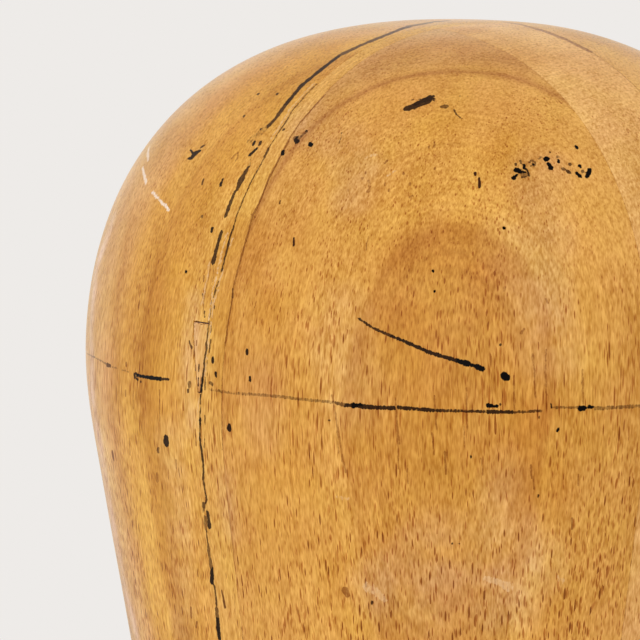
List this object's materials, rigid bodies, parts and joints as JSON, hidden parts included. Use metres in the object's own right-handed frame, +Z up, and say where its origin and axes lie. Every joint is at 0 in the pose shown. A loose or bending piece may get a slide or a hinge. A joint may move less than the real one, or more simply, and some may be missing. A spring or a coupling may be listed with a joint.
{
  "type": "millinery head block",
  "caption": "Laminated wooden head form for shaping and sizing hats, flat-footed, with a blind bore for a stand's peg and drawn fitting lines.",
  "frame": {"origin": "under the middle of the head's width and depth, on the surface that the block stands on; the foot and its bore are centred 3 mm nearer the face", "axes": "+Z up through the crown, the face towards -Y, the back of the head towards +Y, ears on -X and +X"},
  "size_m": [0.162, 0.186, 0.2865],
  "materials": {
    "honey_wood": "old shellac, satin, with worn ink lines",
    "pinkish_wood": "old shellac, satin, with worn ink lines",
    "yellow_wood": "old shellac, satin, with worn ink lines",
    "pale_wood": "old shellac, satin",
    "dowel_wood": "bare"
  },
  "bodies": {
    "root": {"rear_billet": "honey_wood", "front_right_billet": "pinkish_wood", "front_core_board": "yellow_wood", "front_left_billet": "honey_wood", "centre_strip": "yellow_wood", "repair_slip": "pale_wood", "dowel_upper_left": "dowel_wood", "dowel_upper_right": "dowel_wood", "dowel_upper_core": "dowel_wood", "dowel_lower_left": "dowel_wood", "dowel_lower_right": "dowel_wood", "dowel_lower_core": "dowel_wood"}
  },
  "joints": []
}
